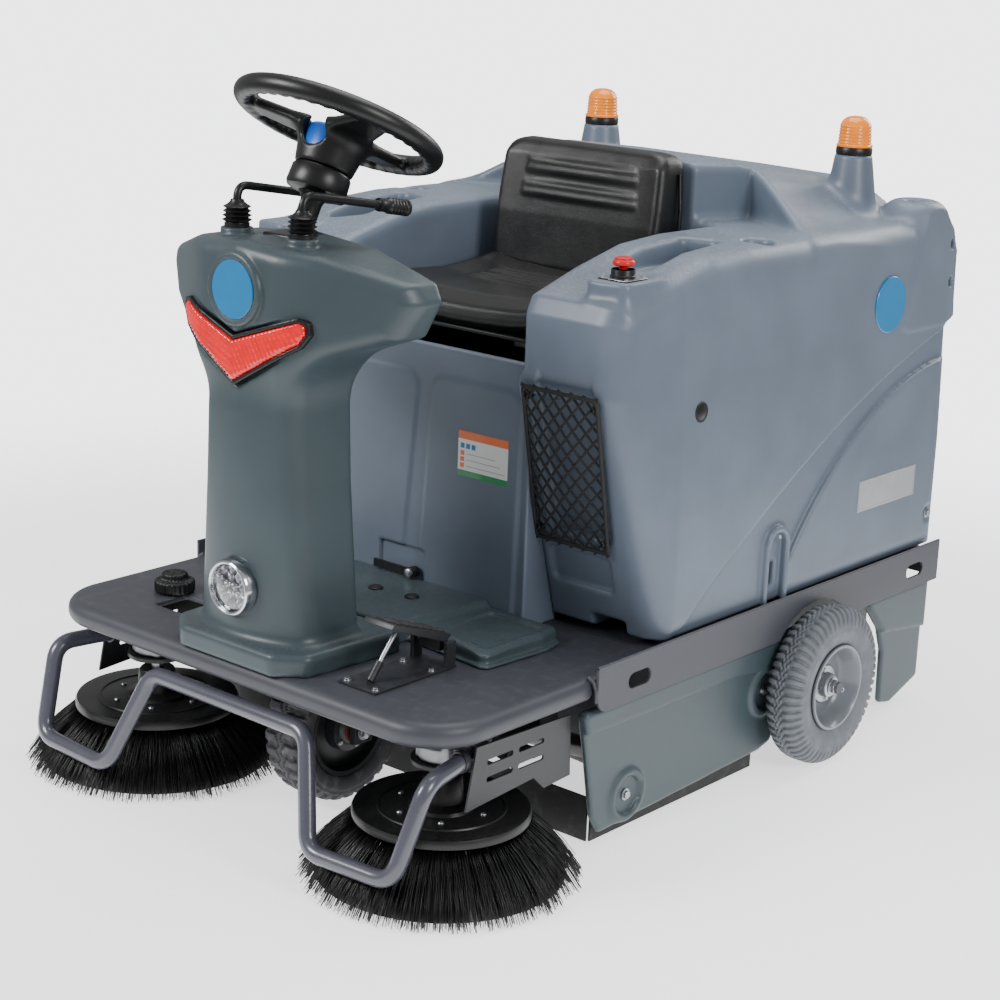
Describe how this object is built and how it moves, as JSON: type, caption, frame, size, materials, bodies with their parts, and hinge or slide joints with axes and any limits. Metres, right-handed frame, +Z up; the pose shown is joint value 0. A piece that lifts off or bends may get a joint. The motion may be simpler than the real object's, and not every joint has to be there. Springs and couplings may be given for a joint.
{
  "type": "ride on sweeper",
  "caption": "Ride-on floor sweeper with steered front wheel, driver seat, steering wheel, side brushes, main brush and rear dust hopper.",
  "frame": {"origin": "on the ground, below the centre of the machine's bounding box", "axes": "+Z up, the machine drives towards -Y, +X is the driver's left-hand side"},
  "size_m": [1.286, 1.704, 1.3818],
  "materials": {
    "body_plastic": "semi-gloss, fine moulded pebble",
    "trim_plastic": "semi-gloss, moulded pebble",
    "frame_paint": "textured powder coat",
    "bumper_paint": "glossy paint",
    "black_plastic": "satin",
    "black_steel": "satin black paint",
    "grey_tyre": "non-marking rubber",
    "black_tyre": "satin rubber",
    "rim_paint": "glossy paint",
    "zinc_steel": "zinc plated",
    "cast_alloy": "as cast",
    "chrome_trim": "polished",
    "clear_lens": "clear",
    "red_lens": "gloss",
    "amber_lens": "gloss",
    "seat_vinyl": "grained vinyl",
    "rubber": "matt",
    "bristle": "polypropylene bristle",
    "elastic_net": "knitted elastic",
    "badge_blue": "gloss label",
    "signal_red": "gloss",
    "cap_blue": "gloss",
    "battery_case": "moulded case",
    "filter_paper": "pleated polyester"
  },
  "bodies": {
    "machine": {"front_deck": "frame_paint", "chassis_frame": "frame_paint", "rubber_flaps": "rubber", "skirt_left": "trim_plastic", "skirt_right": "trim_plastic", "bumper_tube": "bumper_paint", "deck_brackets": "frame_paint", "body_shell": "body_plastic", "seat_panel": "body_plastic", "net_pocket": "elastic_net", "label_plates": "badge_blue", "beacon_collars": "black_plastic", "beacon_lenses": "amber_lens", "emergency_stop_base": "black_plastic", "seat_rails": "black_steel", "front_column": "trim_plastic", "headlight_bezel": "chrome_trim", "headlight_lens": "clear_lens", "chevron_lamp": "red_lens", "tunnel_cover": "trim_plastic", "steering_gearbox": "black_steel", "steering_chain": "zinc_steel", "brush_housing": "frame_paint", "main_brush_motor": "cast_alloy", "filter_panel": "filter_paper", "fan_housing": "cast_alloy", "battery_pack": "battery_case", "drive_controller": "cast_alloy", "pedal_base": "bumper_paint", "fasteners": "zinc_steel"},
    "fork": {"steering_fork": "black_steel"},
    "front_wheel": {"front_tyre": "black_tyre", "front_hub_motor": "cast_alloy"},
    "handwheel": {"steering_wheel": "black_plastic", "steering_wheel_cap": "cap_blue", "steering_shaft": "black_steel"},
    "drop_shaft": {"steering_drop_shaft": "zinc_steel"},
    "main_brush_roll": {"main_brush": "bristle"},
    "seat": {"seat_pan": "black_steel", "seat_cushion": "seat_vinyl", "seat_backrest": "seat_vinyl"},
    "pedal": {"accelerator_pedal": "bumper_paint"},
    "park_lever": {"parking_lever": "black_steel"},
    "stop_button": {"emergency_stop_button": "signal_red"},
    "hopper": {"dust_hopper": "zinc_steel"},
    "impeller": {"fan_impeller": "cast_alloy"},
    "rear_wheel_left": {"rear_tyre_left": "grey_tyre", "rear_rim_left": "rim_paint"},
    "brush_lift_left": {"brush_arm_left": "frame_paint", "brush_motor_left": "cast_alloy"},
    "side_brush_left": {"side_brush_disc_left": "black_plastic", "side_bristles_left": "bristle"},
    "hand_lever_left": {"lever_left": "black_plastic"},
    "rear_wheel_right": {"rear_tyre_right": "grey_tyre", "rear_rim_right": "rim_paint"},
    "brush_lift_right": {"brush_arm_right": "frame_paint", "brush_motor_right": "cast_alloy"},
    "side_brush_right": {"side_brush_disc_right": "black_plastic", "side_bristles_right": "bristle"},
    "hand_lever_right": {"lever_right": "black_plastic"}
  },
  "joints": [
    {"name": "fork_steer", "type": "hinge", "parent": "machine", "child": "fork", "pos_m": [0, -0.475, 0.33], "axis": [0, 0, 1], "range_deg": [-45, 45]},
    {"name": "front_wheel_spin", "type": "hinge", "parent": "fork", "child": "front_wheel", "pos_m": [0, -0.475, 0.15], "axis": [1, 0, 0], "continuous": true},
    {"name": "handwheel_turn", "type": "hinge", "parent": "machine", "child": "handwheel", "pos_m": [0, -0.495, 1.287], "axis": [0, 0.4462, 0.8949], "range_deg": [-140, 140]},
    {"name": "drop_shaft_turn", "type": "hinge", "parent": "machine", "child": "drop_shaft", "pos_m": [0, -0.67348, 0.6], "axis": [0, 0, 1], "range_deg": [-140, 140]},
    {"name": "main_brush_spin", "type": "hinge", "parent": "machine", "child": "main_brush_roll", "pos_m": [0, 0.02, 0.142], "axis": [1, 0, 0], "continuous": true},
    {"name": "seat_slide", "type": "slide", "parent": "machine", "child": "seat", "axis": [0, 1, 0], "range_m": [-0.09, 0.01]},
    {"name": "accelerator_press", "type": "hinge", "parent": "machine", "child": "pedal", "pos_m": [0.267, -0.499, 0.385], "axis": [1, 0, 0], "range_deg": [0, 18], "stiffness_Nm_per_rad": 6, "springref_deg": -22.92},
    {"name": "parking_lever_lift", "type": "hinge", "parent": "machine", "child": "park_lever", "pos_m": [-0.014, -0.259, 0.399], "axis": [0, 1, 0], "range_deg": [0, 25]},
    {"name": "emergency_stop_press", "type": "slide", "parent": "machine", "child": "stop_button", "axis": [0, 0, 1], "range_m": [-0.004, 0]},
    {"name": "hopper_slide", "type": "slide", "parent": "machine", "child": "hopper", "axis": [0, 1, 0], "range_m": [0, 0.5]},
    {"name": "fan_spin", "type": "hinge", "parent": "machine", "child": "impeller", "pos_m": [0, 0.56, 0.52], "axis": [0, 0, 1], "continuous": true},
    {"name": "rear_wheel_left_spin", "type": "hinge", "parent": "machine", "child": "rear_wheel_left", "pos_m": [0.564, 0.363, 0.165], "axis": [1, 0, 0], "continuous": true},
    {"name": "side_brush_left_lift", "type": "hinge", "parent": "machine", "child": "brush_lift_left", "pos_m": [0.383, -0.345, 0.262], "axis": [1, 0, 0], "range_deg": [-6, 0], "deforming": ["side_bristles_left"]},
    {"name": "side_brush_left_spin", "type": "hinge", "parent": "brush_lift_left", "child": "side_brush_left", "pos_m": [0.383, -0.592, 0.131], "axis": [0, 0, 1], "continuous": true},
    {"name": "hand_lever_left_tilt", "type": "hinge", "parent": "machine", "child": "hand_lever_left", "pos_m": [0.082, -0.663, 1.096], "axis": [1, 0, 0], "range_deg": [-12, 12]},
    {"name": "rear_wheel_right_spin", "type": "hinge", "parent": "machine", "child": "rear_wheel_right", "pos_m": [-0.564, 0.363, 0.165], "axis": [1, 0, 0], "continuous": true},
    {"name": "side_brush_right_lift", "type": "hinge", "parent": "machine", "child": "brush_lift_right", "pos_m": [-0.383, -0.345, 0.262], "axis": [1, 0, 0], "range_deg": [-6, 0], "deforming": ["side_bristles_right"]},
    {"name": "side_brush_right_spin", "type": "hinge", "parent": "brush_lift_right", "child": "side_brush_right", "pos_m": [-0.383, -0.592, 0.131], "axis": [0, 0, 1], "continuous": true},
    {"name": "hand_lever_right_tilt", "type": "hinge", "parent": "machine", "child": "hand_lever_right", "pos_m": [-0.082, -0.663, 1.096], "axis": [1, 0, 0], "range_deg": [-12, 12]}
  ],
  "couplings": [
    {"joint": "handwheel_turn", "follows": "fork_steer", "ratio": 3},
    {"joint": "drop_shaft_turn", "follows": "fork_steer", "ratio": 3}
  ]
}
